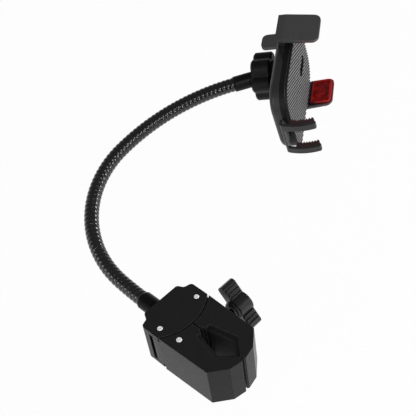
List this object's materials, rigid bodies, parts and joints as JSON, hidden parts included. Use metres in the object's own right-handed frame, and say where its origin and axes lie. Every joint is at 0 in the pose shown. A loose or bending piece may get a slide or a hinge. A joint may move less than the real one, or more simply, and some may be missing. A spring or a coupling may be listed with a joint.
{
  "type": "phone gooseneck holder",
  "caption": "Phone holder with a screw clamp that grips a bar, a bendable ringed neck and a ball-jointed cradle whose spring arms and foot hold the phone.",
  "frame": {"origin": "centre of the clamp's opening, level with the jaws' bottom face", "axes": "+Z along the gripped bar, +Y to the rear where the neck leaves the clamp, +X to the clamp's knob"},
  "size_m": [0.3029, 0.2241, 0.1299],
  "materials": {
    "clamp_black": "black anodised, fine matt grain",
    "bright_steel": "bright zinc plated",
    "black_rubber": "matt moulded rubber",
    "neck_black": "gloss black wound steel",
    "ferrule_black": "satin black",
    "black_plastic": "satin moulded black",
    "grey_rubber": "ribbed grey rubber",
    "red_rubber": "soft red rubber"
  },
  "bodies": {
    "bracket": {"clamp_bracket": "clamp_black", "pivot_pin_left": "bright_steel", "pivot_pin_right": "bright_steel", "lower_ferrule": "ferrule_black", "neck_length_01": "neck_black"},
    "left_jaw": {"left_jaw": "clamp_black", "left_liner": "black_rubber"},
    "right_jaw": {"right_jaw": "clamp_black", "right_liner": "black_rubber"},
    "barrel_nut": {"barrel_nut": "bright_steel"},
    "washer": {"screw_washer": "bright_steel"},
    "knob": {"clamp_knob": "black_plastic", "clamp_screw": "bright_steel"},
    "neck_02": {"neck_length_02": "neck_black"},
    "neck_03": {"neck_length_03": "neck_black"},
    "neck_04": {"neck_length_04": "neck_black"},
    "neck_05": {"neck_length_05": "neck_black"},
    "neck_06": {"neck_length_06": "neck_black"},
    "neck_07": {"neck_length_07": "neck_black"},
    "neck_08": {"neck_length_08": "neck_black"},
    "neck_09": {"neck_length_09": "neck_black"},
    "neck_10": {"neck_length_10": "neck_black"},
    "neck_11": {"neck_length_11": "neck_black"},
    "neck_12": {"neck_length_12": "neck_black", "upper_ferrule": "ferrule_black", "ball_stud": "ferrule_black"},
    "collet": {"ball_collet": "black_plastic"},
    "cradle": {"cradle_back": "black_plastic", "cradle_front": "black_plastic", "shell_screws": "bright_steel", "grip_pad": "grey_rubber"},
    "lock_nut": {"lock_nut": "black_plastic"},
    "upper_arm": {"upper_arm": "black_plastic", "upper_arm_pad": "red_rubber"},
    "lower_arm": {"lower_arm": "black_plastic", "lower_arm_pad": "red_rubber"},
    "pinion": {"arm_pinion": "black_plastic"},
    "foot": {"foot": "black_plastic", "upper_foot_pad": "black_rubber", "lower_foot_pad": "black_rubber"}
  },
  "joints": [
    {"name": "left_jaw_open", "type": "hinge", "parent": "bracket", "child": "left_jaw", "pos_m": [-0.0187, 0.042, 0.0185], "axis": [0, 0, -1], "range_deg": [0, 9]},
    {"name": "right_jaw_open", "type": "hinge", "parent": "bracket", "child": "right_jaw", "pos_m": [0.0187, 0.042, 0.0185], "axis": [0, 0, 1], "range_deg": [0, 9]},
    {"name": "barrel_nut_turn", "type": "hinge", "parent": "left_jaw", "child": "barrel_nut", "pos_m": [-0.0169, 0.0242, 0.0165], "axis": [0, 0, 1], "range_deg": [0, 9]},
    {"name": "screw_feed", "type": "slide", "parent": "barrel_nut", "child": "washer", "axis": [-1, 0, 0], "range_m": [-0.002, 0.002]},
    {"name": "knob_turn", "type": "hinge", "parent": "washer", "child": "knob", "pos_m": [0.0382, 0.0242, 0.0165], "axis": [-1, 0, 0], "range_deg": [-725, 725]},
    {"name": "neck_bend_1", "type": "hinge", "parent": "bracket", "child": "neck_02", "pos_m": [0, 0.11069, 0.02123], "axis": [0.2193, 0.1862, -0.9577], "range_deg": [-7, 7]},
    {"name": "neck_sway_1", "type": "hinge", "parent": "neck_02", "child": "neck_03", "pos_m": [0.00284, 0.13293, 0.02621], "axis": [0.9443, -0.2874, 0.1604], "range_deg": [-7, 7]},
    {"name": "neck_bend_2", "type": "hinge", "parent": "neck_03", "child": "neck_04", "pos_m": [0.01118, 0.15351, 0.03212], "axis": [0.2193, 0.1862, -0.9577], "range_deg": [-7, 7]},
    {"name": "neck_sway_2", "type": "hinge", "parent": "neck_04", "child": "neck_05", "pos_m": [0.02449, 0.17108, 0.03858], "axis": [0.7054, -0.7084, 0.0238], "range_deg": [-7, 7]},
    {"name": "neck_bend_3", "type": "hinge", "parent": "neck_05", "child": "neck_06", "pos_m": [0.0419, 0.18453, 0.04518], "axis": [0.2193, 0.1862, -0.9577], "range_deg": [-7, 7]},
    {"name": "neck_sway_3", "type": "hinge", "parent": "neck_06", "child": "neck_07", "pos_m": [0.0623, 0.19299, 0.0515], "axis": [0.288, -0.9502, -0.1188], "range_deg": [-7, 7]},
    {"name": "neck_bend_4", "type": "hinge", "parent": "neck_07", "child": "neck_08", "pos_m": [0.08438, 0.19591, 0.05713], "axis": [0.2193, 0.1862, -0.9577], "range_deg": [-7, 7]},
    {"name": "neck_sway_4", "type": "hinge", "parent": "neck_08", "child": "neck_09", "pos_m": [0.1077, 0.19456, 0.0622], "axis": [-0.0735, -0.9757, -0.2065], "range_deg": [-7, 7]},
    {"name": "neck_bend_5", "type": "hinge", "parent": "neck_09", "child": "neck_10", "pos_m": [0.1308, 0.19039, 0.06668], "axis": [0.2193, 0.1862, -0.9577], "range_deg": [-7, 7]},
    {"name": "neck_sway_5", "type": "hinge", "parent": "neck_10", "child": "neck_11", "pos_m": [0.15335, 0.18347, 0.0705], "axis": [-0.3041, -0.9197, -0.2484], "range_deg": [-7, 7]},
    {"name": "neck_bend_6", "type": "hinge", "parent": "neck_11", "child": "neck_12", "pos_m": [0.17503, 0.1739, 0.07361], "axis": [0.2193, 0.1862, -0.9577], "range_deg": [-7, 7]},
    {"name": "ball_tilt", "type": "hinge", "parent": "neck_12", "child": "collet", "pos_m": [0.21785, 0.14681, 0.07815], "axis": [-0.0197, -0.1737, -0.9846], "range_deg": [-46, 4]},
    {"name": "cradle_turn", "type": "hinge", "parent": "collet", "child": "cradle", "pos_m": [0.21785, 0.14681, 0.07815], "axis": [0.5151, -0.8458, 0.1389], "continuous": true},
    {"name": "lock_nut_turn", "type": "hinge", "parent": "cradle", "child": "lock_nut", "pos_m": [0.21785, 0.14681, 0.07815], "axis": [0.5151, -0.8458, 0.1389], "range_deg": [-40, 40]},
    {"name": "upper_arm_slide", "type": "slide", "parent": "cradle", "child": "upper_arm", "axis": [-0.2332, 0.0177, 0.9723], "range_m": [0, 0.01], "stiffness_N_per_m": 400, "springref_m": -0.01},
    {"name": "lower_arm_slide", "type": "slide", "parent": "cradle", "child": "lower_arm", "axis": [0.2332, -0.0177, -0.9723], "range_m": [0, 0.01], "stiffness_N_per_m": 400, "springref_m": -0.01},
    {"name": "pinion_turn", "type": "hinge", "parent": "cradle", "child": "pinion", "pos_m": [0.24063, 0.13206, 0.08388], "axis": [0.5151, -0.8458, 0.1389], "range_deg": [-1, 116]},
    {"name": "foot_slide", "type": "slide", "parent": "cradle", "child": "foot", "axis": [0.8248, 0.5332, 0.1881], "range_m": [-0.018, 0.005]}
  ],
  "couplings": [
    {"joint": "right_jaw_open", "follows": "left_jaw_open", "ratio": 1},
    {"joint": "barrel_nut_turn", "follows": "left_jaw_open", "ratio": 1},
    {"joint": "knob_turn", "follows": "screw_feed", "rad_per_m": 6283.2},
    {"joint": "lower_arm_slide", "follows": "upper_arm_slide", "ratio": 1},
    {"joint": "pinion_turn", "follows": "upper_arm_slide", "rad_per_m": 200}
  ]
}
